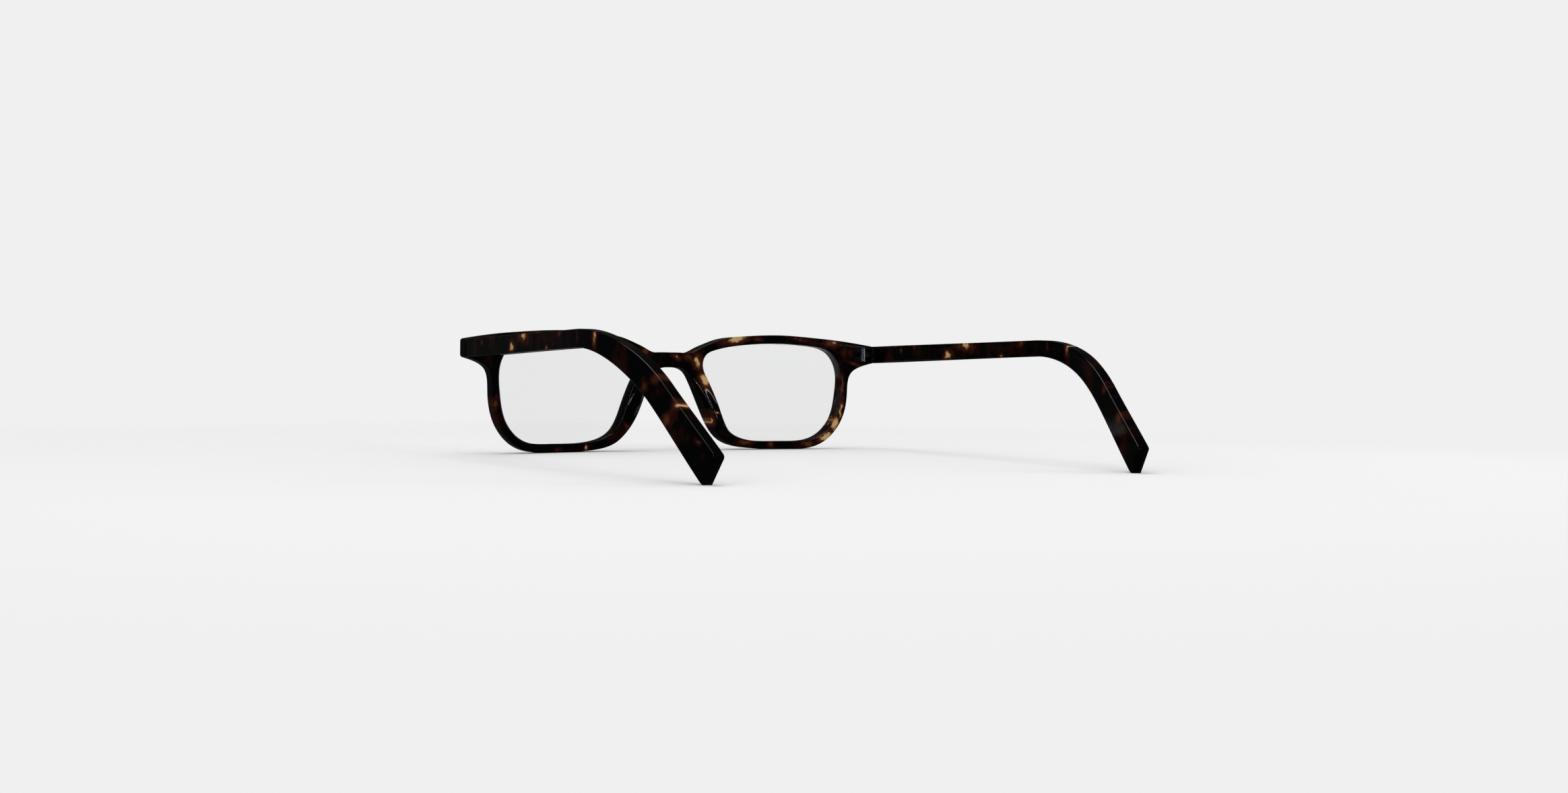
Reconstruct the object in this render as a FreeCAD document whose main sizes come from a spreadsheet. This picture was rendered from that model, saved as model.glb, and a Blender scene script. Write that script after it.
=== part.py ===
import FreeCAD, Part
import math
import os

from FreeCAD import Placement, Rotation, Vector

# Acetate eyeglasses: a curved front with two lenses and built-in nose pads, and two temples
# that fold on three-barrel hinges. +X is the wearer's left, the lenses face -Y, +Z is up,
# and the rims and the temple tips stand on z = 0.

doc = FreeCAD.newDocument("eyeglasses")

# alias, value (mm or degrees), what it is
DRIVING_SIZES = [
    ("lens_width", 45.8, "width of a lens opening"),
    ("lens_height", 29.6, "height of a lens opening"),
    ("bridge_width", 20.8, "distance between the two openings"),
    ("endpiece_reach", 10.8, "opening edge to the outer end of the front"),
    ("front_thickness", 4.2, "thickness of the acetate sheet of the front"),
    ("base_radius", 300.0, "radius of the curved back of the front, in plan"),
    ("rim_top", 2.5, "rim above the opening"),
    ("rim_bottom", 2.3, "rim below the opening"),
    ("rim_side", 2.3, "rim beside the opening, at the temple"),
    ("rim_nose", 4.3, "rim beside the opening, at the nose"),
    ("bridge_top_rise", 11.6, "top of the bridge above the lens centre"),
    ("bridge_depth", 4.4, "height of the bridge at the middle"),
    ("endpiece_rise", 14.3, "top of the endpiece above the lens centre"),
    ("endpiece_height", 4.9, "height of the outer end of the front"),
    ("groove_depth", 0.6, "depth of the lens groove in the rim"),
    ("lens_radius", 200.0, "radius of the lens curve"),
    ("lens_thickness", 1.8, "thickness of a lens"),
    ("lens_forward", 1.0, "lens middle in front of the middle of the rim"),
    ("bevel_thickness", 0.8, "thickness of the lens edge in the groove"),
    ("pad_length", 15.0, "length of a nose pad"),
    ("pad_width", 4.6, "width of a nose pad"),
    ("pad_depth", 2.7, "nose pad behind the front"),
    ("pad_lean", 27.0, "nose pad from upright"),
    ("pad_set_out", 0.9, "middle of the nose pad from the nose end of the opening, away from the nose"),
    ("pad_drop", 4.3, "middle of the nose pad below the lens centre"),
    ("temple_straight", 74.6, "straight part of a temple"),
    ("temple_thickness", 3.2, "thickness of a temple"),
    ("temple_front_height", 5.0, "height of a temple at the hinge"),
    ("temple_neck_height", 4.4, "height of a temple where its bend starts"),
    ("temple_bend_height", 6.3, "height of a temple where its bend ends"),
    ("temple_tip_height", 7.5, "height of a temple at its tip"),
    ("bend_radius", 46.7, "radius of the bend's centre line"),
    ("bend_angle", 44.2, "how far the tip is bent down"),
    ("tip_length", 23.8, "straight part of the tip"),
    ("tip_cut", 11.0, "slant of the flat end of the tip"),
    ("temple_edge_radius", 1.1, "rounding of a temple's long edges"),
    ("tip_edge_radius", 0.7, "rounding of the end of the tip"),
    ("splay", 2.5, "temples spread outwards, each"),
    ("toe_in", 15.5, "tips curve inwards, each, over the bend"),
    ("butt_gap", 0.3, "gap between the front and an open temple"),
    ("barrel_radius", 1.15, "outside radius of the hinge barrels"),
    ("hinge_height", 4.0, "height of the three barrels together"),
    ("barrel_gap", 0.05, "play between one barrel and the next"),
    ("hinge_clearance", 0.35, "space between the barrels and the acetate"),
    ("hinge_drop", 0.5, "top barrel below the top of the endpiece"),
    ("screw_radius", 0.6, "radius of the hinge screw"),
    ("screw_play", 0.03, "running play between the screw and a barrel"),
    ("screw_head_radius", 0.85, "radius of the screw's head"),
    ("screw_head_height", 0.5, "height of the screw's head"),
    ("slot_width", 0.25, "width of the screwdriver slot"),
    ("slot_depth", 0.25, "depth of the screwdriver slot"),
    ("leaf_thickness", 1.0, "thickness of a sunk hinge plate"),
    ("leaf_length", 9.0, "length of the hinge plate in a temple"),
    ("leaf_width", 4.0, "width of the hinge plate in the front"),
    ("leaf_height", 3.0, "height of both sunk hinge plates"),
    ("leaf_cover", 0.7, "acetate over a sunk hinge plate"),
    ("core_radius", 0.65, "radius of the core wire"),
    ("core_start", 11.0, "start of the core wire behind the temple's end"),
    ("core_end", 14.0, "end of the core wire before the tip"),
]

sheet = doc.addObject("Spreadsheet::Sheet", "sizes")
for row, (alias, value, meaning) in enumerate(DRIVING_SIZES, start=1):
    sheet.set("A%d" % row, meaning)
    sheet.set("B%d" % row, str(value))
    sheet.setAlias("B%d" % row, alias)
doc.recompute()


def size(alias):
    return float(sheet.get(alias))


# The lens opening as fractions of its half width and half height, from the top round past
# the temple side. The corner at the nose end of the top is the tightest.
LENS_SHAPE = [
    (0.05, 1.00), (0.56, 0.965), (0.85, 0.83), (0.985, 0.50), (0.99, 0.0), (0.90, -0.56),
    (0.68, -0.90), (0.20, -1.00), (-0.28, -0.975), (-0.60, -0.79), (-0.79, -0.25),
    (-0.93, 0.25), (-1.00, 0.56), (-0.955, 0.74), (-0.82, 0.845), (-0.42, 0.955),
]
TOP_POINTS = (0, 1, 2, 14, 15)
SIDE_AND_BOTTOM = slice(4, 11)
BOTTOM_POINTS = (7, 8)
NOSE_CORNER_POINT = 9
NOSE_SIDE_POINT = 10

BRIDGE_FLAT = 7.5  # the bridge is level until this far before the opening's nose end
# How the top of the bridge climbs to the rim: mm past the nose end of the opening (less than
# 0 is on the bridge) and mm above the bridge.
BRIDGE_SHOULDER = [(-4.2, 0.05), (-1.6, 1.2), (2.2, 2.8), (6.0, 4.1)]
# How the side of the nose gap runs up into the bridge: mm past the nose end of the opening
# (less than 0 is towards the middle) and mm above the underside of the bridge.
BRIDGE_ARCH = [(-3.4, -3.6), (-5.2, -1.1), (-7.6, -0.1)]
# The top of the endpiece: mm before its outer end and mm above the end's top corner.
ENDPIECE_TOP = [(12.3, 1.75), (5.0, 0.8)]
# Its underside: mm before its outer end and mm below the end's lower corner.
ENDPIECE_UNDER = [(3.4, 0.9), (7.5, 3.2)]

BARREL_HEIGHT = "(sizes.hinge_height - 2 * sizes.barrel_gap) / 3"
TOE_IN_SHARE = 0.7  # the tips curve inwards over this much of the bend

lens_centre_x = (size("bridge_width") + size("lens_width")) / 2
lens_centre_z = size("rim_bottom") + size("lens_height") / 2
opening_out_x = size("bridge_width") / 2 + size("lens_width")
half_span = opening_out_x + size("endpiece_reach")
endpiece_top = lens_centre_z + size("endpiece_rise")
hinge_x = half_span - size("temple_thickness") - size("hinge_clearance") - size("barrel_radius")
hinge_top = endpiece_top - size("hinge_drop")
barrel_height = (size("hinge_height") - 2 * size("barrel_gap")) / 3
bend_length = size("bend_radius") * math.radians(size("bend_angle"))
temple_length = size("temple_straight") + bend_length + size("tip_length")


# ------------------------------------------------------------------ temple shape
def temple_height(along):
    """Height of the temple at a distance along it, easing from one named height to the next."""
    stops = [(0, size("temple_front_height")), (size("temple_straight"), size("temple_neck_height")),
             (size("temple_straight") + bend_length, size("temple_bend_height")),
             (temple_length, size("temple_tip_height"))]
    for (start, low), (end, high) in zip(stops, stops[1:]):
        if along <= end:
            share = (along - start) / (end - start)
            return low + (high - low) * share * share * (3 - 2 * share)
    return stops[-1][1]


def temple_line(start, end, count):
    """Evenly spaced stations on the temple's middle: distance, point, forward, up and out.

    The line is walked in short steps from the top of the temple's front end."""
    steps_between = 30
    step = (end - start) / ((count - 1) * steps_between)
    skipped = math.ceil(start / step)
    point = Vector(0, 0, -size("temple_front_height") / 2)
    lift = (size("temple_front_height") - size("temple_neck_height")) / 2 / size("temple_straight")
    stations = []
    for i in range(skipped + (count - 1) * steps_between + 1):
        along = start + (i - skipped) * step
        bent = min(max(along - size("temple_straight"), 0) / bend_length, 1)
        down = math.radians(size("bend_angle")) * bent
        inward = size("toe_in") * min(bent / TOE_IN_SHARE, 1) - size("splay")
        turn = Rotation(Vector(0, 0, 1), inward)
        forward = turn.multVec(Vector(0, math.cos(down), -math.sin(down)))
        up = turn.multVec(Vector(0, math.sin(down), math.cos(down)))
        if i >= skipped and (i - skipped) % steps_between == 0:
            stations.append((along, point, forward, up, turn.multVec(Vector(1, 0, 0))))
        point = point + (forward + up * (lift * (1 - bent))) * step
    return stations


def rounded_section(centre, up, out, height):
    """A cross-section of the temple: four rounded corners joined by four sides."""
    radius = size("temple_edge_radius")
    half_out = size("temple_thickness") / 2 - radius
    half_up = height / 2 - radius
    edges = []
    for quarter in range(4):
        first, last = [out, up, out * -1, up * -1, out][quarter:quarter + 2]
        a = 1 if quarter in (0, 3) else -1
        b = 1 if quarter in (0, 1) else -1
        corner = centre + out * (a * half_out) + up * (b * half_up)
        middle = corner + (first + last) * (radius / math.sqrt(2))
        edges.append(Part.Arc(corner + first * radius, middle, corner + last * radius).toShape())
        step = up * (-2 * b * half_up) if quarter in (1, 3) else out * (-2 * a * half_out)
        side_start = corner + last * radius
        edges.append(Part.LineSegment(side_start, side_start + step).toShape())
    return Part.Wire(edges)


def temple_blank():
    """The temple before its hinge and core go in: square to the front at one end, and cut flat
    and slanting at the other."""
    butt_slope = half_span / size("base_radius")
    stations = temple_line(0, temple_length, 21)
    sections = []
    for along, point, forward, up, out in stations:
        if along == stations[0][0]:
            out = Vector(1, butt_slope, 0)
        if along == stations[-1][0]:
            up = up - forward * math.tan(math.radians(size("tip_cut")))
        sections.append(rounded_section(point, up, out, temple_height(along)))
    solid = Part.makeLoft(sections, True, False)
    tip_end = max(solid.Faces, key=lambda face: face.CenterOfMass.y)
    return solid.makeFillet(size("tip_edge_radius"), tip_end.Edges)


def core_wire():
    circles = [Part.Wire(Part.makeCircle(size("core_radius"), point, forward))
               for along, point, forward, up, out
               in temple_line(size("core_start"), temple_length - size("core_end"), 16)]
    return Part.makeLoft(circles, True, False)


def lifted_box(blank, angle):
    """Bounding box of the temple turned up about the top of its front end."""
    lifted = blank.copy()
    lifted.rotate(Vector(), Vector(1, 0, 0), angle)
    return lifted.optimalBoundingBox()


def temple_rise(blank):
    """Angle in degrees that lifts the temple until its tip just meets z = 0."""
    angle = 0.0
    for _ in range(4):
        angle -= math.degrees((endpiece_top + lifted_box(blank, angle).ZMin) / temple_length)
    return angle


temple_shape = temple_blank()
rise_angle = temple_rise(temple_shape)


# ------------------------------------------------------------------ places along Y
def curve_back(x):
    """How far the back of the curved front lies behind the back of the bridge, at x."""
    radius = size("base_radius")
    return radius - math.sqrt(radius ** 2 - x ** 2)


temple_x = half_span - size("temple_thickness") / 2
temple_reach = curve_back(temple_x) + size("butt_gap") + lifted_box(temple_shape, rise_angle).YMax
bridge_back_y = (size("front_thickness") - temple_reach) / 2  # centres the object on y = 0


def back_of_front(x):
    return bridge_back_y + curve_back(x)


hinge_y = back_of_front(hinge_x) + size("barrel_radius") + size("hinge_clearance")


# ------------------------------------------------------------------ outlines
def closed_curve(points):
    curve = Part.BSplineCurve()
    curve.interpolate(Points=[Vector(x, z, 0) for x, z in points], PeriodicFlag=True)
    return curve


def open_curve(points):
    curve = Part.BSplineCurve()
    curve.interpolate(Points=[Vector(x, z, 0) for x, z in points])
    return curve


def opening_points(grow, side=1):
    """Points of a lens opening, moved outwards by grow: a length, or one for each point."""
    points = [(lens_centre_x + u * size("lens_width") / 2, lens_centre_z + v * size("lens_height") / 2)
              for u, v in LENS_SHAPE]
    count = len(points)
    grows = grow if isinstance(grow, list) else [grow] * count
    moved = []
    for i, (x, z) in enumerate(points):
        before, after = points[i - 1], points[(i + 1) % count]
        along_x, along_z = after[0] - before[0], after[1] - before[1]
        length = math.hypot(along_x, along_z)
        moved.append((side * (x - along_z / length * grows[i]), z + along_x / length * grows[i]))
    return moved


def rim_points():
    """The opening's points moved out by the rim's width: the outside of one rim."""
    widths = [size("rim_side")] * len(LENS_SHAPE)
    for i in TOP_POINTS:
        widths[i] = size("rim_top")
    for i in BOTTOM_POINTS:
        widths[i] = size("rim_bottom")
    widths[NOSE_CORNER_POINT] = (size("rim_bottom") + size("rim_nose")) / 2
    widths[NOSE_SIDE_POINT] = size("rim_nose")
    return opening_points(widths)


def mirrored(points):
    return [(-x, z) for x, z in points]


def front_outline():
    """Top curve, end, bottom curve and end of the whole front, as four edges."""
    rim = rim_points()
    nose_end = size("bridge_width") / 2
    bridge_top = lens_centre_z + size("bridge_top_rise")
    bridge_under = bridge_top - size("bridge_depth")
    end_under = endpiece_top - size("endpiece_height")
    top = [(nose_end - BRIDGE_FLAT, bridge_top)]
    top += [(nose_end + past, bridge_top + above) for past, above in BRIDGE_SHOULDER]
    top += [rim[-1], rim[0], rim[1]]
    top += [(half_span - before, endpiece_top + above) for before, above in ENDPIECE_TOP]
    top += [(half_span, endpiece_top)]
    under = [(half_span, end_under)]
    under += [(half_span - before, end_under - below) for before, below in ENDPIECE_UNDER]
    under += rim[SIDE_AND_BOTTOM]
    under += [(nose_end + past, bridge_under + above) for past, above in BRIDGE_ARCH]
    top_curve = open_curve(mirrored(top)[::-1] + [(0, bridge_top)] + top)
    under_curve = open_curve(under + [(0, bridge_under)] + mirrored(under)[::-1])
    ends = [Part.LineSegment(Vector(x, endpiece_top, 0), Vector(x, end_under, 0))
            for x in (half_span, -half_span)]
    return [top_curve, ends[0], under_curve, ends[1]]


# ------------------------------------------------------------------ document helpers
def bound(kind, name, expressions):
    """A document object whose properties follow the sheet."""
    item = doc.addObject(kind, name)
    for prop, expression in expressions.items():
        item.setExpression(prop, expression)
    return item


def upright_sketch(name, curves):
    """A sketch in the XZ plane."""
    sketch = doc.addObject("Sketcher::SketchObject", name)
    sketch.Placement = Placement(Vector(), Rotation(Vector(1, 0, 0), 90))
    for curve in curves:
        sketch.addGeometry(curve, False)
    return sketch


def front_to_back(name, sketch):
    """A sketch in the XZ plane drawn out along Y, both ways."""
    block = doc.addObject("Part::Extrusion", name)
    block.Base = sketch
    block.DirMode = "Custom"
    block.Dir = Vector(0, 1, 0)
    block.Solid = True
    block.FaceMakerClass = "Part::FaceMakerBullseye"
    block.setExpression("LengthFwd", "sizes.temple_straight * 2")
    block.setExpression("LengthRev", "sizes.temple_straight * 2")
    return block


def boolean(kind, name, base, tool):
    item = doc.addObject("Part::" + kind, name)
    item.Base = base
    item.Tool = tool
    return item


def joined(name, shapes):
    item = doc.addObject("Part::MultiFuse", name)
    item.Shapes = shapes
    return item


def mirror_of(item, name):
    copy = doc.addObject("Part::Mirroring", name)
    copy.Source = item
    copy.Normal = Vector(1, 0, 0)
    copy.Label = name
    return copy


def shell(name, outer, inner, centre):
    """The space between two spheres round one centre."""
    balls = []
    for end, radius in (("_out", outer), ("_in", inner)):
        ball = bound("Part::Sphere", name + end, {"Radius": radius})
        ball.Placement = Placement(centre, Rotation())
        balls.append(ball)
    return boolean("Cut", name, balls[0], balls[1])


# ------------------------------------------------------------------ lenses
def lens_curve_centre():
    """Centre of the lens curve: behind the lens, square to the rim at the lens's middle."""
    away = math.asin(lens_centre_x / size("base_radius"))
    lens_middle = size("base_radius") + size("front_thickness") / 2 + size("lens_forward")
    reach = lens_middle - size("lens_radius")
    centre_y = bridge_back_y + size("base_radius")
    return Vector(reach * math.sin(away), centre_y - reach * math.cos(away), lens_centre_z)


def build_lenses():
    centre = lens_curve_centre()
    body_shell = shell("lens_shell", "sizes.lens_radius + sizes.lens_thickness / 2",
                       "sizes.lens_radius - sizes.lens_thickness / 2", centre)
    bevel_shell = shell("bevel_shell", "sizes.lens_radius + sizes.bevel_thickness / 2",
                        "sizes.lens_radius - sizes.bevel_thickness / 2", centre)
    opening = front_to_back("lens_block", upright_sketch("opening_outline", [closed_curve(opening_points(0))]))
    grown = [closed_curve(opening_points(size("groove_depth")))]
    grooved = front_to_back("bevel_block", upright_sketch("bevel_outline", grown))
    disc = boolean("Common", "lens_disc", opening, body_shell)
    bevel = boolean("Common", "lens_bevel", grooved, bevel_shell)
    lens = joined("lens_left", [disc, bevel])
    bevels = [bevel, mirror_of(bevel, "lens_bevel_right")]
    return [lens, mirror_of(lens, "lens_right")], bevels


# ------------------------------------------------------------------ hinge metal
def block(name, corner, length, width, height):
    """A box whose three sizes, along X, Y and Z, follow the sheet."""
    box = bound("Part::Box", name, {"Length": length, "Width": width, "Height": height})
    box.Placement = Placement(Vector(*corner), Rotation())
    return box


def round_bar(name, radius, height, low, x=hinge_x, y=hinge_y):
    """An upright cylinder, on the hinge's axis unless another place is given."""
    bar = bound("Part::Cylinder", name, {"Radius": radius, "Height": height})
    bar.Placement = Placement(Vector(x, y, low), Rotation())
    return bar


def barrel_low(index):
    """Underside of one of the three barrels, counted from the top."""
    return hinge_top - (index + 1) * barrel_height - index * size("barrel_gap")


def barrel(name, index):
    return round_bar(name, "sizes.barrel_radius", BARREL_HEIGHT, barrel_low(index))


def build_hinge_screw():
    low = hinge_top - size("hinge_height")
    shaft = round_bar("screw_shaft", "sizes.screw_radius", "sizes.hinge_height", low)
    head = round_bar("screw_head", "sizes.screw_head_radius", "sizes.screw_head_height",
                     hinge_top - size("screw_head_height"))
    reach = size("screw_head_radius") * 1.5
    slot = block("screw_slot", (hinge_x - size("slot_width") / 2, hinge_y - reach, hinge_top - size("slot_depth")),
                 "sizes.slot_width", "sizes.screw_head_radius * 3", "sizes.slot_depth * 2")
    whole = joined("screw_blank", [shaft, head])
    screw = boolean("Cut", "hinge_screw_left", whole, slot)
    return screw, mirror_of(screw, "hinge_screw_right")


def build_front_hinge():
    """Top and bottom barrels, their necks, and the plate sunk in the back of the endpiece."""
    inner_x = hinge_x - size("leaf_width") / 2
    plate_front = back_of_front(inner_x) - size("leaf_cover") - size("leaf_thickness")
    middle = hinge_top - size("hinge_height") / 2
    plate = block("front_leaf", (inner_x, plate_front, middle - size("leaf_height") / 2),
                  "sizes.leaf_width", "sizes.leaf_thickness", "sizes.leaf_height")
    pieces = [plate]
    neck_front = plate_front + size("leaf_thickness") / 2
    for index in (0, 2):
        neck = block("front_neck_%d" % index, (hinge_x - size("barrel_radius"), neck_front, barrel_low(index)),
                     "sizes.barrel_radius * 2", "%.4f" % (hinge_y - neck_front), BARREL_HEIGHT)
        pieces += [barrel("front_barrel_%d" % index, index), neck]
    whole = joined("front_hinge_blank", pieces)
    bore = round_bar("front_bore", "sizes.screw_radius", "sizes.hinge_height * 2",
                     hinge_top - size("hinge_height") * 1.5)
    seat = round_bar("screw_seat", "sizes.screw_head_radius", "sizes.screw_head_height * 2",
                     hinge_top - size("screw_head_height"))
    hinge = boolean("Cut", "front_hinge_left", whole, joined("front_hinge_holes", [bore, seat]))
    return hinge, mirror_of(hinge, "front_hinge_right")


def build_temple_hinge():
    """Middle barrel, its arm, and the plate sunk in the temple."""
    plate_x = half_span - size("temple_thickness") + size("leaf_cover")
    middle = hinge_top - size("hinge_height") / 2
    arm = block("temple_arm", (hinge_x, hinge_y, barrel_low(1)),
                "%.4f" % (plate_x + size("leaf_thickness") / 2 - hinge_x), "sizes.barrel_radius", BARREL_HEIGHT)
    plate = block("temple_leaf", (plate_x, hinge_y, middle - size("leaf_height") / 2),
                  "sizes.leaf_thickness", "sizes.leaf_length", "sizes.leaf_height")
    whole = joined("temple_hinge_blank", [barrel("temple_barrel", 1), arm, plate])
    bore = round_bar("temple_bore", "sizes.screw_radius + sizes.screw_play", "sizes.hinge_height * 2",
                     hinge_top - size("hinge_height") * 1.5)
    hinge = boolean("Cut", "temple_hinge_left", whole, bore)
    return hinge, mirror_of(hinge, "temple_hinge_right")


# ------------------------------------------------------------------ temples
def build_temples(temple_hinge):
    start = Vector(temple_x, back_of_front(temple_x) + size("butt_gap"), endpiece_top)
    place = Placement(start, Rotation(Vector(1, 0, 0), rise_angle))
    blank = doc.addObject("Part::Feature", "temple_blank")
    blank.Shape = temple_shape
    blank.Placement = place
    core = doc.addObject("Part::Feature", "core_wire_left")
    core.Shape = core_wire()
    core.Placement = place
    temple = boolean("Cut", "temple_left", blank, joined("temple_insides", [core, temple_hinge]))
    return temple, mirror_of(temple, "temple_right"), core, mirror_of(core, "core_wire_right")


# ------------------------------------------------------------------ front and nose pads
def build_curved_sheet():
    """The sheet that the front is cut from: the space between two upright cylinders."""
    tall = "(sizes.lens_height + sizes.endpiece_rise) * 4"
    low = -size("lens_height")
    centre = {"x": 0, "y": bridge_back_y + size("base_radius")}
    outside = round_bar("sheet_front", "sizes.base_radius + sizes.front_thickness", tall, low, **centre)
    inside = round_bar("sheet_back", "sizes.base_radius", tall, low, **centre)
    return boolean("Cut", "curved_sheet", outside, inside)


def build_front(fitted):
    """The front: outline and openings, less everything that is fitted into it."""
    outlines = front_outline() + [closed_curve(opening_points(0, side)) for side in (1, -1)]
    plate = front_to_back("front_plate", upright_sketch("front_outline", outlines))
    blank = boolean("Common", "front_blank", plate, build_curved_sheet())
    return boolean("Cut", "front_frame", blank, joined("fitted_pieces", fitted))


def build_nose_pads():
    """A long drop bonded to the back of the rim, leaning with the side of the nose."""
    drop = bound("Part::Ellipsoid", "nose_pad_drop", {"Radius1": "sizes.pad_length / 2",
                                                      "Radius2": "sizes.pad_width / 2",
                                                      "Radius3": "sizes.pad_depth"})
    x = size("bridge_width") / 2 + size("pad_set_out")
    drop.Placement = Placement(Vector(x, back_of_front(x), lens_centre_z - size("pad_drop")),
                               Rotation(Vector(0, 1, 0), -size("pad_lean")))
    pad = boolean("Common", "nose_pad_left", drop, doc.getObject("sheet_back"))
    return pad, mirror_of(pad, "nose_pad_right")


# ------------------------------------------------------------------ assembly
def check_sound(item):
    broken = [state for state in item.State if state in ("Invalid", "Error")]
    shape = getattr(item, "Shape", None)
    if broken or (shape is not None and (shape.isNull() or not shape.isValid())):
        raise RuntimeError("%s did not build: %s" % (item.Label, broken))


def main():
    lenses, bevels = build_lenses()
    screws = build_hinge_screw()
    front_hinges = build_front_hinge()
    temple_hinges = build_temple_hinge()
    temples_and_cores = build_temples(temple_hinges[0])
    front = build_front([*bevels, *front_hinges])
    pads = build_nose_pads()
    nodes = [front, *pads, *lenses, *temples_and_cores, *front_hinges, *temple_hinges, *screws]
    doc.recompute()
    for item in doc.Objects:
        check_sound(item)
    os.makedirs("parts", exist_ok=True)
    for node in nodes:
        node.Shape.exportStep("parts/%s.step" % node.Label)
        print("%-20s solids %d  volume %8.2f mm3" % (node.Label, len(node.Shape.Solids), node.Shape.Volume))


main()
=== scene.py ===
import math

import bmesh
import bpy
import numpy as np
from mathutils import Matrix, Vector
from mathutils.geometry import delaunay_2d_cdt


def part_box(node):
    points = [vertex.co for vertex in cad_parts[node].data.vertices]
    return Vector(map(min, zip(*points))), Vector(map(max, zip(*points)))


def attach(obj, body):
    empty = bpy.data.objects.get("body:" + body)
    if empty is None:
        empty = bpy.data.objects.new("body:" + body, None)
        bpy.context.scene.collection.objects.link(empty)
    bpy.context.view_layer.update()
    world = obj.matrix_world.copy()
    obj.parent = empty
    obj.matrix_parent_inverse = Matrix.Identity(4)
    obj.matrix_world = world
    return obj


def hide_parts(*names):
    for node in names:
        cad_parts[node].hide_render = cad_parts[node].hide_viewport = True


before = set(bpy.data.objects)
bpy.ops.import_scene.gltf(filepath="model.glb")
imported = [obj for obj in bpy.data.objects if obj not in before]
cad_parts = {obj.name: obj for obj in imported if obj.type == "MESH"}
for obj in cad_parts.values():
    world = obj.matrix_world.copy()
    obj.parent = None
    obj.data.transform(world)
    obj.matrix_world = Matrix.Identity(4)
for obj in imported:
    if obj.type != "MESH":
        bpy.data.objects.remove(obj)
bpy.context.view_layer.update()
mm = 0.001  # outlines and sizes below are in millimetres, meshes in metres


def linearColour(hexCode):
    # sRGB hex to the linear numbers that a shader wants
    channels = [int(hexCode[i:i + 2], 16) / 255 for i in (1, 3, 5)]
    return tuple(c / 12.92 if c <= 0.04045 else ((c + 0.055) / 1.055) ** 2.4 for c in channels) + (1.0,)


def addNode(tree, kind, feeds=None, **settings):
    # one node with its settings; feeds go from input name or number to a value or another node's output
    node = tree.nodes.new("ShaderNode" + kind)
    for name, value in settings.items():
        setattr(node, name, value)
    for socket, source in (feeds or {}).items():
        if isinstance(source, bpy.types.NodeSocket):
            tree.links.new(source, node.inputs[socket])
        else:
            node.inputs[socket].default_value = source
    return node


def newMaterial(name):
    material = bpy.data.materials.new(name)
    material.use_nodes = True
    material.node_tree.nodes.clear()
    return material, material.node_tree


def meshPiece(name, points, faces, material):
    # points in millimetres become a smooth-shaded piece in metres
    mesh = bpy.data.meshes.new(name)
    mesh.from_pydata([tuple(float(c) * mm for c in p) for p in points], [], faces)
    mesh.validate()
    mesh.polygons.foreach_set("use_smooth", [True] * len(mesh.polygons))
    mesh.materials.append(material)
    mesh.update()
    piece = bpy.data.objects.new(name, mesh)
    bpy.context.scene.collection.objects.link(piece)
    return piece


def eased(low, high, value):
    share = np.clip((value - low) / (high - low), 0, 1)
    return share * share * (3 - 2 * share)


# polished cellulose acetate, tortoiseshell: block acetate has dark brown chips and honey chips
# pressed together, so a blotch runs right through the sheet. Tumbling and buffing give a wet
# gloss, a faint wave and hairlines from the polishing wheel.
acetateFinish = {
    "ink": "#020101", "oxblood": "#270D07", "amber": "#55301A", "caramel": "#876540", "honey": "#AF9062",
    "shine": 0.3,  # specular level, a little under the plain default so that black stays black
    "gloss": 0.055,  # roughness of the buffed surface
    "hairline": 0.05,  # how much rougher the polishing hairlines are
    "waveLength": 7.0,  # mm, waves left by the buffing wheel
    "waveHeight": 0.004,  # mm
    "raggedness": 1.3,  # mm, how far a blotch's edge wanders
    "raggedLength": 3.5,  # mm, from one wander to the next
    "grain": 0.35, "grainLength": 1.6,  # how much a blotch is torn, and mm from one tear to the next
    "cloudLength": 9.0,  # mm, faint oxblood clouds between the blotches
    "index": 1.48,
    "blend": 0.15,  # how softly neighbouring blotches run together
    "hairlineGap": 1 / 3,  # mm; real hairlines are far finer than this and would not show
    # distance at which each layer starts and is full, where 1 is a blotch's edge, and its strength
    "core": (1.35, 0.45, 1.0), "halo": (2.3, 1.1, 0.3), "stain": (1.8, 0.2, 0.4),
    "cloud": (0.52, 0.75, 0.22),  # the same, for the noise of the clouds
}


def blotchDistance(tree, coords, blotches):
    # distance to the nearest blotch, where 1 is its edge
    nearest = None
    alongX = blotches["through"] == "x"
    for a, b, wide, high, lean, dim in blotches["at"]:
        centre = (0, a, b) if alongX else (a, 0, b)
        shifted = addNode(tree, "VectorMath", {0: coords, 1: centre}, operation="SUBTRACT").outputs[0]
        axis = (1, 0, 0) if alongX else (0, 1, 0)
        turned = addNode(tree, "VectorRotate", {"Vector": shifted, "Axis": axis, "Angle": math.radians(lean)})
        squeeze = (1, 1 / wide, 1 / high) if alongX else (1 / wide, 1, 1 / high)
        scaled = addNode(tree, "VectorMath", {0: turned.outputs[0], 1: squeeze}, operation="MULTIPLY")
        length = addNode(tree, "VectorMath", {0: scaled.outputs[0]}, operation="LENGTH").outputs["Value"]
        reach = addNode(tree, "Math", {0: length, 1: dim}, operation="ADD").outputs[0]
        if nearest is not None:
            soft = {0: nearest, 1: reach, 2: acetateFinish["blend"]}
            reach = addNode(tree, "Math", soft, operation="SMOOTH_MIN").outputs[0]
        nearest = reach
    return nearest


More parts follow.
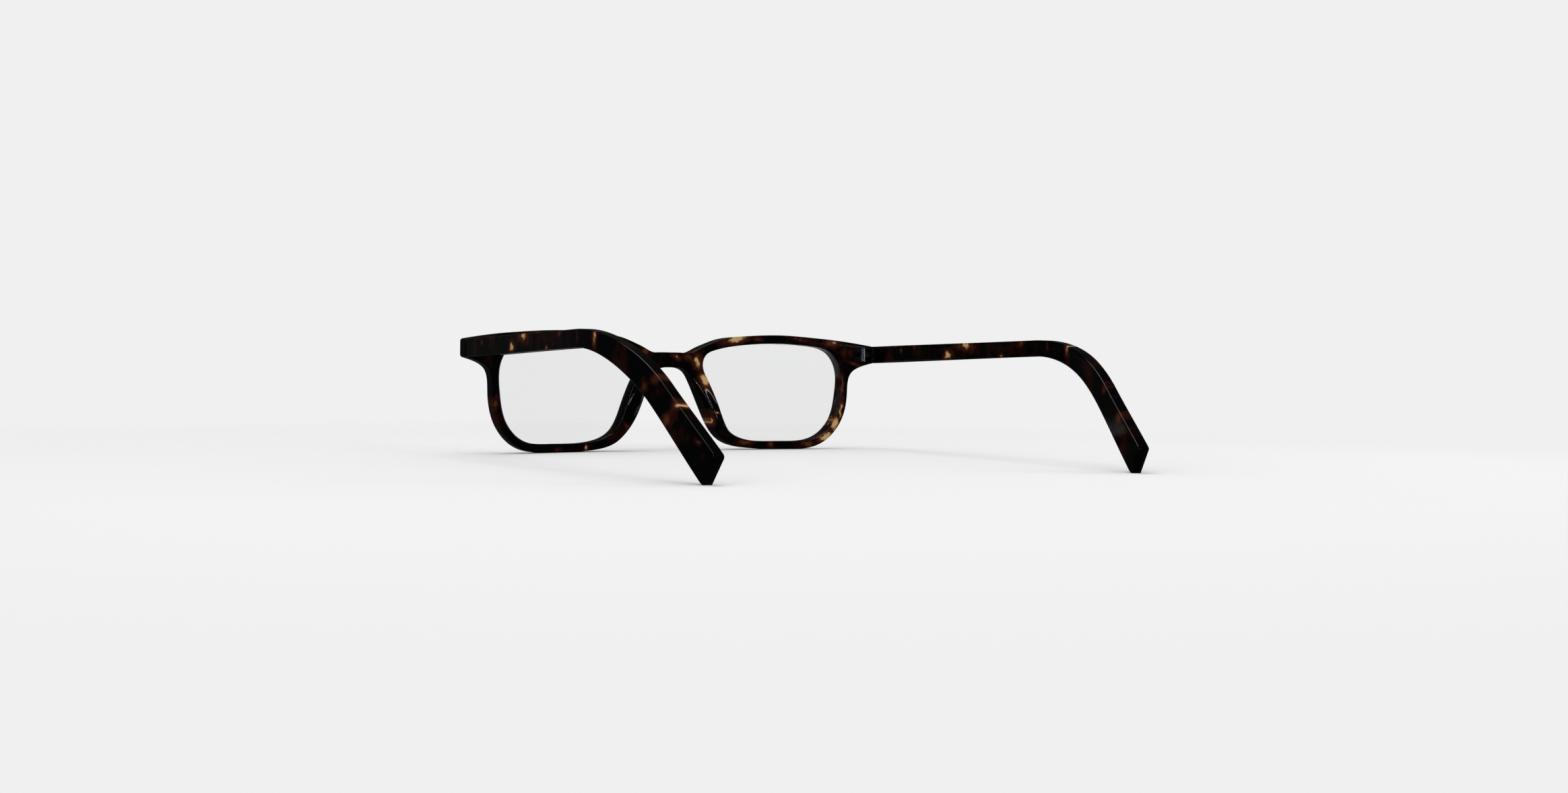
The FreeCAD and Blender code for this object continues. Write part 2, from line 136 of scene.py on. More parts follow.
def polishedAcetate(name, honey, oxblood, slide=0.0):
    # slide moves the whole pattern along the temple, in mm
    finish = acetateFinish
    material, tree = newMaterial(name)
    place = addNode(tree, "TexCoord").outputs["Object"]
    flat = (0, 1 / mm, 1 / mm) if honey["through"] == "x" else (1 / mm, 0, 1 / mm)
    measured = addNode(tree, "VectorMath", {0: place, 1: flat}, operation="MULTIPLY").outputs[0]
    coords = addNode(tree, "VectorMath", {0: measured, 1: (0, slide, 0)}, operation="SUBTRACT").outputs[0]
    wander = addNode(tree, "TexNoise", {
        "Vector": coords, "Scale": 1 / finish["raggedLength"], "Detail": 3.0, "Roughness": 0.55})
    centred = addNode(tree, "VectorMath", {0: wander.outputs["Color"], 1: (0.5, 0.5, 0.5)},
                      operation="SUBTRACT")
    pulled = addNode(tree, "VectorMath", {0: centred.outputs[0], "Scale": 2 * finish["raggedness"]},
                     operation="SCALE").outputs[0]
    ragged = addNode(tree, "VectorMath", {0: coords, 1: pulled}, operation="ADD").outputs[0]
    grain = addNode(tree, "TexNoise", {"Vector": ragged, "Scale": 1 / finish["grainLength"], "Detail": 3.0})
    torn = addNode(tree, "MapRange", {
        0: grain.outputs["Fac"], 1: 0.3, 2: 0.7, 3: -finish["grain"], 4: finish["grain"]}).outputs[0]

    # the layers: honey cores with a brown halo, oxblood stains and faint clouds; the lightest wins
    clouds = addNode(tree, "TexNoise", {
        "Vector": coords, "Scale": 1 / finish["cloudLength"], "Detail": 4.0, "Roughness": 0.6})
    low, high, strength = finish["cloud"]
    light = addNode(tree, "MapRange", {
        0: clouds.outputs["Fac"], 1: low, 2: high, 3: 0.0, 4: strength}).outputs[0]
    for blotches, layers in ((honey, ("core", "halo")), (oxblood, ("stain",))):
        apart = blotchDistance(tree, ragged, blotches)
        reach = addNode(tree, "Math", {0: apart, 1: torn}, operation="ADD").outputs[0]
        for starts, full, strength in (finish[layer] for layer in layers):
            shade = addNode(tree, "MapRange", {0: reach, 1: starts, 2: full, 3: 0.0, 4: strength},
                            interpolation_type="SMOOTHSTEP").outputs[0]
            light = addNode(tree, "Math", {0: light, 1: shade}, operation="MAXIMUM").outputs[0]

    tone = addNode(tree, "ValToRGB", {"Fac": light})
    stops = [(0.0, "ink"), (0.26, "oxblood"), (0.5, "amber"), (0.76, "caramel"), (1.0, "honey")]
    while len(tone.color_ramp.elements) < len(stops):
        tone.color_ramp.elements.new(0.5)
    for element, (position, word) in zip(tone.color_ramp.elements, stops):
        element.position = position
        element.color = linearColour(finish[word])

    lines = addNode(tree, "TexNoise", {
        "Vector": place, "Scale": 1 / (finish["hairlineGap"] * mm), "Detail": 2.0})
    rough = addNode(tree, "MapRange", {0: lines.outputs["Fac"], 1: 0.35, 2: 0.75, 3: finish["gloss"],
                                       4: finish["gloss"] + finish["hairline"]}).outputs[0]
    wave = addNode(tree, "TexNoise", {
        "Vector": place, "Scale": 1 / (finish["waveLength"] * mm), "Detail": 1.0})
    bump = addNode(tree, "Bump", {"Height": wave.outputs["Fac"], "Strength": 1.0,
                                  "Distance": finish["waveHeight"] * mm}).outputs[0]
    shader = addNode(tree, "BsdfPrincipled", {
        "Base Color": tone.outputs["Color"], "Roughness": rough, "IOR": finish["index"],
        "Normal": bump, "Specular IOR Level": finish["shine"]})
    addNode(tree, "OutputMaterial", {"Surface": shader.outputs[0]})
    return material


# blotches: place across, place up, half width, half height, lean in degrees, how far it is dimmed
frontHoney = {"through": "y", "at": [
    (-21.4, 33.0, 3.2, 1.1, -12, 0), (-53.9, 32.5, 1.5, 0.8, 0, 0.35), (-8.7, 25.9, 1.2, 2.3, -18, 0.15),
    (-11.2, 20.4, 1.3, 2.4, -24, 0), (-1.3, 27.4, 1.3, 0.8, 20, 0.5), (-12.7, 9.0, 0.5, 1.9, -25, 0.3),
    (-14.2, 10.9, 1.5, 0.4, 8, 0.3), (-51.4, 3.7, 2.4, 1.1, -25, 0), (-54.2, 7.4, 1.0, 2.4, 18, 0),
    (-56.2, 12.0, 0.5, 2.6, 8, 0.1), (27.9, 0.9, 0.8, 0.7, 0, 0.3), (31.0, 33.6, 1.0, 0.5, 0, 0.4),
]}
frontOxblood = {"through": "y", "at": [
    (-57.5, 29.4, 3.4, 2.2, 0, 0.7), (-60.6, 26.2, 3.2, 0.7, 12, 0.2), (-42.6, 33.3, 3.4, 0.8, 0, 0.3),
    (-28.6, 33.2, 1.6, 0.8, 0, 0.4), (-5.6, 27.4, 2.2, 1.1, 0, 0.2), (-25.0, 2.3, 2.6, 0.9, 0, 0),
    (-32.8, 1.5, 0.9, 1.0, 0, 0), (-45.5, 1.6, 2.0, 0.8, 0, 0), (57.6, 13.7, 0.9, 2.6, 12, 0.2),
    (8.9, 28.6, 1.6, 1.1, 30, 0), (36.7, 0.8, 1.4, 0.7, 0, 0.4), (44.5, 33.2, 2.2, 0.8, 0, 0.2),
    (15.5, 7.0, 0.9, 2.2, -25, 0.4), (-56.6, 20.0, 0.6, 3.4, 0, 0.1), (-53.0, 32.2, 3.2, 1.4, 0, 0.2),
]}
templeHoney = {"through": "x", "at": [
    (-21.0, 29.2, 1.3, 1.3, 0, 0.0), (-13.6, 31.8, 2.7, 1.4, 0, 0.15), (2.0, 28.8, 0.9, 0.8, 0, 0.5),
    (29.2, 31.2, 0.9, 1.7, 10, 0.3), (51.6, 22.4, 1.2, 1.5, 40, 0.7), (58.4, 17.0, 1.2, 1.4, 20, 0.3),
    (65.4, 9.2, 0.9, 0.6, 0, 0.8), (-36.6, 31.3, 0.7, 0.7, 0, 0.8),
]}
templeOxblood = {"through": "x", "at": [
    (-43.2, 30.4, 0.9, 0.9, 0, 0.2), (9.9, 32.2, 1.5, 1.2, 0, 0.3), (20.5, 31.5, 0.7, 2.2, 0, 0.5),
    (56.0, 13.6, 1.8, 2.8, 35, 0.3), (48.0, 20.6, 1.8, 1.6, 0, 0.5), (66.6, 6.0, 1.0, 1.0, 0, 0.8),
    (-29.5, 31.6, 0.7, 1.4, 0, 0.6),
]}
frontAcetate = polishedAcetate("polished cellulose acetate, front sheet", frontHoney, frontOxblood)
templeAcetate = {
    side: polishedAcetate("polished cellulose acetate, " + side + " temple sheet", templeHoney,
                          templeOxblood, slide) for side, slide in (("left", -1.7), ("right", 2.9))
}


# the front: one curved sheet with both rims, the bridge and the nose pads
frontPlan = {
    "openingWidth": 45.8, "openingHeight": 29.6, "betweenOpenings": 20.8,
    "sheet": 4.2, "backRadius": 300.0,
    "rimTop": 2.5, "rimBottom": 2.3, "rimSide": 2.3, "rimNose": 4.3,
    "bridgeTopRise": 11.6, "bridgeDepth": 4.4, "bridgeFlat": 7.5,
    "endRise": 14.3, "endHeight": 4.9,
    "edgeRound": 0.38,  # buffed long edges
    "endCornerRound": 0.75,  # corners of the two ends
    "fineStep": 0.5,  # mm between points along an outline
    "padTop": 24.5, "padFoot": 3.0,  # heights between which the nose pad swells
    "padSwell": 2.6,  # how far its crest stands behind the rim
    "padCrest": 1.0,  # from the nose side of the rim to the crest
    "padShare": 0.6,  # how much of the swell is gone where the lens starts
    "padEdge": 0.55,  # how much of the swell there is at the very edge
    "padSink": 1.4, "padTaper": 1.6,  # moves the swell down, and sharpens its ends
    "padFrom": 17, "padTo": 22,  # across, where the last of the pad dies away
    "lensGrip": 0.06,  # the opening closes over the edge of the lens by this much
}
openingShape = [
    (0.05, 1.00), (0.56, 0.965), (0.85, 0.83), (0.985, 0.50), (0.99, 0.0), (0.90, -0.56),
    (0.68, -0.90), (0.20, -1.00), (-0.28, -0.975), (-0.60, -0.79), (-0.79, -0.25),
    (-0.93, 0.25), (-1.00, 0.56), (-0.955, 0.74), (-0.82, 0.845), (-0.42, 0.955),
]
bridgeShoulder = [(-4.2, 0.05), (-1.6, 1.2), (2.2, 2.8), (6.0, 4.1)]
bridgeArch = [(-3.4, -3.6), (-5.2, -1.1), (-7.6, -0.1)]
endTop = [(12.3, 1.75), (5.0, 0.8)]
endUnder = [(3.4, 0.9), (7.5, 3.2)]

frontLow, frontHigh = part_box("front_frame")
halfSpan = frontHigh.x / mm
bridgeBack = frontLow.y / mm + frontPlan["sheet"]
openingX = (frontPlan["betweenOpenings"] + frontPlan["openingWidth"]) / 2
openingZ = frontPlan["rimBottom"] + frontPlan["openingHeight"] / 2
endTopZ = openingZ + frontPlan["endRise"]


def smoothThrough(points, closed, spacing):
    # a cubic spline through the points, read off every spacing or so
    knots = np.array(points, float)
    if closed:
        knots = np.vstack([knots, knots[:1]])
    steps = np.diff(knots, axis=0)
    gaps = np.linalg.norm(steps, axis=1)
    last = len(knots) - 1
    system, wanted = np.zeros((last + 1, last + 1)), np.zeros((last + 1, 2))
    for i in range(1, last):
        system[i, i - 1:i + 2] = 1 / gaps[i - 1], 2 / gaps[i - 1] + 2 / gaps[i], 1 / gaps[i]
        wanted[i] = 3 * (steps[i - 1] / gaps[i - 1] ** 2 + steps[i] / gaps[i] ** 2)
    if closed:
        system[0, 0], system[0, last] = 1, -1
        system[last, 0], system[last, last] = 2 / gaps[0], 2 / gaps[-1]
        system[last, 1], system[last, last - 1] = 1 / gaps[0], 1 / gaps[-1]
        wanted[last] = 3 * (steps[0] / gaps[0] ** 2 + steps[-1] / gaps[-1] ** 2)
    else:
        system[0, :2], wanted[0] = (2, 1), 3 * steps[0] / gaps[0]
        system[last, last - 1:], wanted[last] = (1, 2), 3 * steps[-1] / gaps[-1]
    slopes = np.linalg.solve(system, wanted)
    line = []
    for i in range(last):
        count = max(2, round(gaps[i] / spacing))
        for t in np.arange(count) / count:
            line.append((1 + 2 * t) * (1 - t) ** 2 * knots[i] + t * (1 - t) ** 2 * gaps[i] * slopes[i]
                        + t * t * (3 - 2 * t) * knots[i + 1] + t * t * (t - 1) * gaps[i] * slopes[i + 1])
    if not closed:
        line.append(knots[-1])
    return np.array(line)


def openingKnots(widths):
    # the lens opening's own points, or those points moved out by the rim's width
    knots = [(openingX + u * frontPlan["openingWidth"] / 2, openingZ + v * frontPlan["openingHeight"] / 2)
             for u, v in openingShape]
    moved = []
    for i, (x, z) in enumerate(knots):
        before, after = knots[i - 1], knots[(i + 1) % len(knots)]
        dx, dz = after[0] - before[0], after[1] - before[1]
        moved.append((x - dz / math.hypot(dx, dz) * widths[i], z + dx / math.hypot(dx, dz) * widths[i]))
    return moved


def mirroredLine(points):
    return [(-x, z) for x, z in points]


def roundedCorner(before, corner, after, radius):
    # a soft corner between two straight runs
    before, corner, after = np.array(before), np.array(corner), np.array(after)
    start = corner + (before - corner) / np.linalg.norm(before - corner) * radius
    end = corner + (after - corner) / np.linalg.norm(after - corner) * radius
    return [(1 - t) ** 2 * start + 2 * t * (1 - t) * corner + t * t * end for t in np.linspace(0, 1, 7)]


def frontOutline():
    plan = frontPlan
    widths = [plan["rimSide"]] * len(openingShape)
    for i in (0, 1, 2, 14, 15):
        widths[i] = plan["rimTop"]
    for i in (7, 8):
        widths[i] = plan["rimBottom"]
    widths[9], widths[10] = (plan["rimBottom"] + plan["rimNose"]) / 2, plan["rimNose"]
    rim = openingKnots(widths)
    noseEnd = plan["betweenOpenings"] / 2
    bridgeTop = openingZ + plan["bridgeTopRise"]
    bridgeUnder = bridgeTop - plan["bridgeDepth"]
    endLow = endTopZ - plan["endHeight"]
    top = [(noseEnd - plan["bridgeFlat"], bridgeTop)]
    top += [(noseEnd + past, bridgeTop + above) for past, above in bridgeShoulder]
    top += [rim[-1], rim[0], rim[1]] + [(halfSpan - back, endTopZ + above) for back, above in endTop]
    top += [(halfSpan, endTopZ)]
    under = [(halfSpan, endLow)] + [(halfSpan - back, endLow - below) for back, below in endUnder]
    under += rim[4:11] + [(noseEnd + past, bridgeUnder + above) for past, above in bridgeArch]
    step, radius = plan["fineStep"], plan["endCornerRound"]
    topLine = smoothThrough(mirroredLine(top)[::-1] + [(0, bridgeTop)] + top, False, step)
    underLine = smoothThrough(under + [(0, bridgeUnder)] + mirroredLine(under)[::-1], False, step)
    loop = []
    for line in (topLine, underLine):
        ends = (line[0], line[-1])
        loop += [p for p in line if min(np.linalg.norm(p - end) for end in ends) > radius * 1.2]
        side = math.copysign(halfSpan, line[-1][0])
        first, second = ((side, endTopZ), (side, endLow))
        if line is underLine:
            first, second = second, first
        inner = (side - math.copysign(4, side), first[1] + (0.6 if first[1] == endTopZ else -0.9))
        innerAfter = (side - math.copysign(4, side), second[1] + (0.6 if second[1] == endTopZ else -0.9))
        loop += roundedCorner(inner, first, second, radius)
        loop += [np.array((side, z)) for z in np.linspace(first[1], second[1], 9)[2:-2]]
        loop += roundedCorner(first, second, innerAfter, radius)
    return np.array(loop)


def insetBy(loop, distance, hole):
    # the loop moved into the acetate by a distance
    along = np.roll(loop, -1, 0) - np.roll(loop, 1, 0)
    along /= np.linalg.norm(along, axis=1)[:, None]
    area = np.sum(loop[:, 0] * np.roll(loop[:, 1], -1) - np.roll(loop[:, 0], -1) * loop[:, 1])
    inward = np.c_[along[:, 1], -along[:, 0]] * (-1 if (area > 0) != hole else 1)
    return loop + inward * distance


def within(points, loop):
    # which points lie inside a closed loop
    x, z = points[:, 0][:, None], points[:, 1][:, None]
    ax, az = loop[:, 0][None], loop[:, 1][None]
    bx, bz = np.roll(loop[:, 0], -1)[None], np.roll(loop[:, 1], -1)[None]
    spans = (az > z) != (bz > z)
    crossing = ax + (z - az) * (bx - ax) / np.where(bz == az, 1e-9, bz - az)
    return (np.sum(spans & (x < crossing), axis=1) % 2) == 1


def nearestTo(points, loop):
    # distance from each point to the nearest side of a loop
    start, side = loop[None], (np.roll(loop, -1, 0) - loop)[None]
    apart = points[:, None, :] - start
    share = np.clip((apart * side).sum(2) / np.maximum((side ** 2).sum(2), 1e-12), 0, 1)[..., None]
    return np.sqrt(((apart - side * share) ** 2).sum(2).min(1))


outline = frontOutline()
bareOpening = smoothThrough(openingKnots([0] * len(openingShape)), True, frontPlan["fineStep"])
openingLeft = insetBy(bareOpening, -frontPlan["lensGrip"], True)
openingRight = openingLeft * (-1, 1)


def backOf(x):
    radius = frontPlan["backRadius"]
    return bridgeBack + radius - np.sqrt(radius ** 2 - x ** 2)


def faceOf(x):
    radius = frontPlan["backRadius"]
    return bridgeBack + radius - np.sqrt((radius + frontPlan["sheet"]) ** 2 - x ** 2)


def padLift(points):
    # the nose pads are one piece with the front: the back of the rim swells to a crest along the
    # side of the nose, and eases off from there towards the lens
    plan = frontPlan
    x, z = points[:, 0], points[:, 1]
    down = np.clip((plan["padTop"] - z) / (plan["padTop"] - plan["padFoot"]), 0, 1)
    swell = plan["padSwell"] * np.sin(np.pi * down ** plan["padSink"]) ** plan["padTaper"]
    inward = nearestTo(points, outline)
    rise = plan["padEdge"] + (1 - plan["padEdge"]) * eased(0, plan["padCrest"], inward)
    fall = 1 - plan["padShare"] * eased(plan["padCrest"], plan["rimNose"], inward)
    return swell * np.minimum(rise, fall) * (1 - eased(plan["padFrom"], plan["padTo"], np.abs(x)))


def buildFront():
    plan = frontPlan
    rounding = plan["edgeRound"]
    angles = np.radians([0, 18, 36, 54, 72, 90])
    arc = [(rounding * (1 - math.sin(a)), rounding * (1 - math.cos(a))) for a in angles]
    guard = (rounding + 0.12, 0.0)
    points, faces = [], []

    def place(flat, depth, onBack):
        # from the flat outline to the curved sheet; depth is measured into the acetate
        lift = padLift(flat)
        if onBack:
            y = backOf(flat[:, 0]) + lift - depth
        else:
            y = faceOf(flat[:, 0]) + depth
        return np.c_[flat[:, 0], y, flat[:, 1]]

    innerLoops = {}
    edgesOfSheet = (("outline", outline, False), ("left", openingLeft, True), ("right", openingRight, True))
    for name, loop, hole in edgesOfSheet:
        rings = [place(insetBy(loop, inset, hole), depth, True) for inset, depth in [guard] + arc]
        faceRings = [place(insetBy(loop, inset, hole), depth, False) for inset, depth in [guard] + arc]
        wallBack, wallFace = rings[-1], faceRings[-1]
        rings += [wallBack * (1 - t) + wallFace * t for t in (0.25, 0.5, 0.75)] + faceRings[::-1]
        start, count = len(points), len(loop)
        for ring in rings:
            points += list(ring)
        for r in range(len(rings) - 1):
            for i in range(count):
                j = (i + 1) % count
                a, b = start + r * count + i, start + r * count + j
                faces.append((a, b, b + count, a + count))
        innerLoops[name] = (insetBy(loop, guard[0], hole), start, start + (len(rings) - 1) * count)

    # the two broad faces, between the outline and both openings
    flat = np.vstack([innerLoops[n][0] for n in ("outline", "left", "right")])
    backIds = np.concatenate([innerLoops[n][1] + np.arange(len(innerLoops[n][0])) for n in innerLoops])
    faceIds = np.concatenate([innerLoops[n][2] + np.arange(len(innerLoops[n][0])) for n in innerLoops])
    edges, at = [], 0
    for n in innerLoops:
        count = len(innerLoops[n][0])
        edges += [(at + i, at + (i + 1) % count) for i in range(count)]
        at += count
    coarse = np.array([(x, z) for x in np.arange(-66, 66.1, 1.5) for z in np.arange(0.5, 34.5, 0.8)])
    fine = np.array([(s * x, z) for s in (-1, 1)
                     for x in np.arange(3, 18, 0.45) for z in np.arange(3.0, 26, 0.45)])
    filling = np.vstack([coarse[~((np.abs(coarse[:, 0]) < 18.4) & (coarse[:, 1] < 26.4))], fine])
    filling = filling[within(filling, innerLoops["outline"][0])]
    for n in ("left", "right"):
        filling = filling[~within(filling, innerLoops[n][0])]
    filling = filling[nearestTo(filling, flat) > 0.3]
    cloud = [Vector(p) for p in np.vstack([flat, filling])]
    verts, _, triangles, kept, _, _ = delaunay_2d_cdt(cloud, edges, [], 0, 1e-6, True)
    corners = np.array([tuple(v) for v in verts])
    tri = np.array([t for t in triangles if len(t) == 3])
    middles = corners[tri].mean(1)
    inside = within(middles, innerLoops["outline"][0])
    for n in ("left", "right"):
        inside &= ~within(middles, innerLoops[n][0])
    tri = tri[inside]
    for onBack, ids in ((True, backIds), (False, faceIds)):
        fillStart = len(points)
        points += list(place(filling, 0, onBack))
        number = {}
        for v, sources in enumerate(kept):
            if sources:
                s = sources[0]
                number[v] = int(ids[s]) if s < len(flat) else fillStart + s - len(flat)
        for a, b, c in tri:
            if a in number and b in number and c in number:
                faces.append((number[a], number[b], number[c]))
    front = meshPiece("front", points, faces, frontAcetate)
    tidyNormals(front)
    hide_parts("front_frame", "nose_pad_left", "nose_pad_right")
    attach(front, "front")
    return front


def tidyNormals(piece):
    work = bmesh.new()
    work.from_mesh(piece.data)
    bmesh.ops.recalc_face_normals(work, faces=work.faces)
    work.to_mesh(piece.data)
    work.free()


front = buildFront()
print("front:", len(front.data.vertices), "points")


# the temples: sheet acetate round a wire, straight, then bent down over the ear
templePlan = {
    "straight": 74.6, "bendRadius": 46.7, "bendAngle": 44.2, "tip": 23.8,
    "thickness": 3.2, "heights": (5.0, 4.4, 6.3, 7.5),
    "splay": 2.5, "toeIn": 15.5, "toeInShare": 0.7, "tipCut": 11.0, "gap": 0.3,
    "edgeRound": 0.4,  # buffed long edges
    "frontRound": 0.22, "tipRound": 1.45,  # edges of the two ends
    "step": 0.7,
}


def templeLine(plan):
    # stations on the temple's middle, every twentieth of a millimetre
    bendLength = plan["bendRadius"] * math.radians(plan["bendAngle"])
    length = plan["straight"] + bendLength + plan["tip"]
    first, second = plan["heights"][:2]
    lift = (first - second) / 2 / plan["straight"]
    step = 0.05
    point = Vector((0, 0, -first / 2))
    stations = []
    for i in range(int(length / step) + 2):
        along = i * step
        bent = min(max(along - plan["straight"], 0) / bendLength, 1)
        down = math.radians(plan["bendAngle"]) * bent
        inward = math.radians(plan["toeIn"] * min(bent / plan["toeInShare"], 1) - plan["splay"])
        turn = Matrix.Rotation(inward, 3, "Z")
        forward = turn @ Vector((0, math.cos(down), -math.sin(down)))
        up = turn @ Vector((0, math.sin(down), math.cos(down)))
        stations.append((point.copy(), forward, up, turn @ Vector((1, 0, 0))))
        point += (forward + up * (lift * (1 - bent))) * step
    return stations, step, length, bendLength


def templeHeight(plan, along, bendLength, length):
    stops = [0, plan["straight"], plan["straight"] + bendLength, length]
    for i in range(3):
        if along <= stops[i + 1]:
            return plan["heights"][i] + (plan["heights"][i + 1] - plan["heights"][i]) * float(
                eased(stops[i], stops[i + 1], along))
    return plan["heights"][3]


def roundedSection(halfOut, halfUp, radius):
    # out and up offsets round a rectangle with soft corners
    radius = max(min(radius, halfOut - 0.02, halfUp - 0.02), 0.02)
    ring = []
    for quarter in range(4):
        cx = (halfOut - radius) * (1 if quarter in (0, 3) else -1)
        cz = (halfUp - radius) * (1 if quarter in (0, 1) else -1)
        for k in range(6):
            angle = math.radians(90 * quarter + 18 * k)
            ring.append((cx + radius * math.cos(angle), cz + radius * math.sin(angle)))
        nextX = (halfOut - radius) * (1 if quarter in (2, 3) else -1)
        nextZ = (halfUp - radius) * (1 if quarter in (0, 3) else -1)
        end = math.radians(90 * (quarter + 1))
        goal = (nextX + radius * math.cos(end), nextZ + radius * math.sin(end))
        start = ring[-1]
        for t in ((0.06, 0.5, 0.94) if quarter in (0, 2) else (0.03, 0.25, 0.5, 0.75, 0.97)):
            ring.append((start[0] + (goal[0] - start[0]) * t, start[1] + (goal[1] - start[1]) * t))
    return ring


def buildTemples():
    plan = templePlan
    stations, step, length, bendLength = templeLine(plan)
    frontSkew = halfSpan / frontPlan["backRadius"] + math.tan(math.radians(plan["splay"]))
    tipSkew = math.tan(math.radians(plan["tipCut"]))
    reach = length / 20  # the slant of each end dies away over this
    angles = [math.radians(a) for a in (0, 22, 45, 67, 90)]
    rings = [(0, plan["frontRound"] + d) for d in (1.2, 0.7, 0.15)]
    soft, tipSoft = plan["frontRound"], plan["tipRound"]
    rings += [(soft * (1 - math.cos(a)), soft * (1 - math.sin(a))) for a in angles]
    rings += [(s, 0) for s in np.arange(soft + 0.15, length - tipSoft - 0.1, plan["step"])]
    rings += [(length - tipSoft * (1 - math.cos(a)), tipSoft * (1 - math.sin(a))) for a in angles[::-1]]
    rings += [(length, plan["tipRound"] + d) for d in (0.04, 0.08, 0.11)]
    points = []
    for along, inset in rings:
        centre, forward, up, out = stations[min(round(along / step), len(stations) - 1)]
        high = templeHeight(plan, along, bendLength, length)
        nearFront = 1 - float(eased(0, reach, along))
        nearTip = float(eased(length - reach, length, along))
        section = roundedSection(plan["thickness"] / 2 - inset, high / 2 - inset, plan["edgeRound"] - inset)
        for o, u in section:
            slide = o * frontSkew * nearFront - u * tipSkew * nearTip
            points.append(centre + out * o + up * u + forward * slide)
    around = len(points) // len(rings)
    faces = []
    for r in range(len(rings) - 1):
        here, beyond = r * around, (r + 1) * around
        for i in range(around):
            j = (i + 1) % around
            faces.append((here + i, here + j, beyond + j, beyond + i))
    faces.append(tuple(range(around))[::-1])
    faces.append(tuple(range((len(rings) - 1) * around, len(rings) * around)))

    # turn the temple up about the top of its front end until the tip meets the floor
    angle = 0.0
    for _ in range(4):
        lowest = min((Matrix.Rotation(angle, 3, "X") @ p).z for p in points)
        angle -= (endTopZ + lowest) / length
    spot = halfSpan - plan["thickness"] / 2
    start = Vector((spot, backOf(spot) + plan["gap"], endTopZ))
    turn = Matrix.Rotation(angle, 3, "X")
    placed = [turn @ p + start for p in points]
    made = []
    for side, word in ((1, "left"), (-1, "right")):
        mirror = [(p.x * side, p.y, p.z) for p in placed]
        temple = meshPiece("temple_arm_" + word, mirror, faces, templeAcetate[word])
        tidyNormals(temple)
        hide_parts("temple_" + word)
        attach(temple, "temple_" + word)
        made.append(temple)
    return made


temples = buildTemples()
print("temples:", sum(len(t.data.vertices) for t in temples), "points")


# lenses: cast CR-39, hard coated and anti-reflection coated. Casting leaves them clear, the
# coating gives a weak green reflection, and cleaning leaves faint wipe marks.
lensFinish = {
    "index": 1.5, "resin": "#FBFEFC", "reflection": "#DDF5EA", "shadow": "#F4F7F5",
    "wipeLength": 14.0, "wipe": 0.02,  # mm between wipe marks, and the roughness they leave
}


def castLensResin():
    material, tree = newMaterial("cast CR-39 resin, coated")
    place = addNode(tree, "TexCoord").outputs["Object"]
    smear = addNode(tree, "TexNoise", {
        "Vector": place, "Scale": 1 / (lensFinish["wipeLength"] * mm), "Detail": 5.0, "Distortion": 1.5})
    rough = addNode(tree, "MapRange", {
        0: smear.outputs["Fac"], 1: 0.5, 2: 0.8, 3: 0.0, 4: lensFinish["wipe"]}).outputs[0]
    glass = addNode(tree, "BsdfPrincipled", {
        "Base Color": linearColour(lensFinish["resin"]), "Roughness": rough, "IOR": lensFinish["index"],
        "Transmission Weight": 1.0, "Specular Tint": linearColour(lensFinish["reflection"])})
    clear = addNode(tree, "BsdfTransparent", {"Color": linearColour(lensFinish["shadow"])})
    # lamps shine straight through, so a clear lens casts no dark shadow
    lamp = addNode(tree, "LightPath").outputs["Is Shadow Ray"]
    both = addNode(tree, "MixShader", {0: lamp, 1: glass.outputs[0], 2: clear.outputs[0]})
    addNode(tree, "OutputMaterial", {"Surface": both.outputs[0]})
    return material


# hinges, screws and core wires: drawn, milled or turned metal. Tool lines spread the
# highlights, and handling leaves darker stains.
hingeFinish = {"metal": "#78818D", "tarnish": "#525B66", "roughness": 0.2, "spread": 0.16, "lineGap": 0.12,
               "lineDepth": 0.002}


stainWidth = 1 / 0.9  # mm across a tarnish stain


def metalFinish(name, finish, axis):
    material, tree = newMaterial(name)
    place = addNode(tree, "TexCoord").outputs["Object"]
    # turning lines are about 0.02 mm apart on the real metal and drawn coarser so that they show
    stretch = {"x": (0.15, 1, 1), "y": (1, 0.15, 1), "z": (0.15, 0.15, 1)}[axis]
    drawn = addNode(tree, "VectorMath", {0: place, 1: stretch}, operation="MULTIPLY").outputs[0]
    lines = addNode(tree, "TexNoise", {
        "Vector": drawn, "Scale": 1 / (finish["lineGap"] * mm), "Detail": 3.0})
    rough = addNode(tree, "MapRange", {0: lines.outputs["Fac"], 1: 0.3, 2: 0.7, 3: finish["roughness"],
                                       4: finish["roughness"] + finish["spread"]}).outputs[0]
    stain = addNode(tree, "TexNoise", {"Vector": place, "Scale": 1 / (stainWidth * mm), "Detail": 4.0})
    worn = addNode(tree, "MapRange", {0: stain.outputs["Fac"], 1: 0.55, 2: 0.8, 3: 0.0, 4: 0.6}).outputs[0]
    bright, dull = linearColour(finish["metal"]), linearColour(finish["tarnish"])
    colour = addNode(tree, "Mix", {0: worn, 6: bright, 7: dull}, data_type="RGBA").outputs[2]
    bump = addNode(tree, "Bump", {
        "Height": lines.outputs["Fac"], "Distance": finish["lineDepth"] * mm}).outputs[0]
    shader = addNode(tree, "BsdfPrincipled", {"Base Color": colour, "Metallic": 1.0, "Roughness": rough,
                                              "Normal": bump})
    addNode(tree, "OutputMaterial", {"Surface": shader.outputs[0]})
    return material


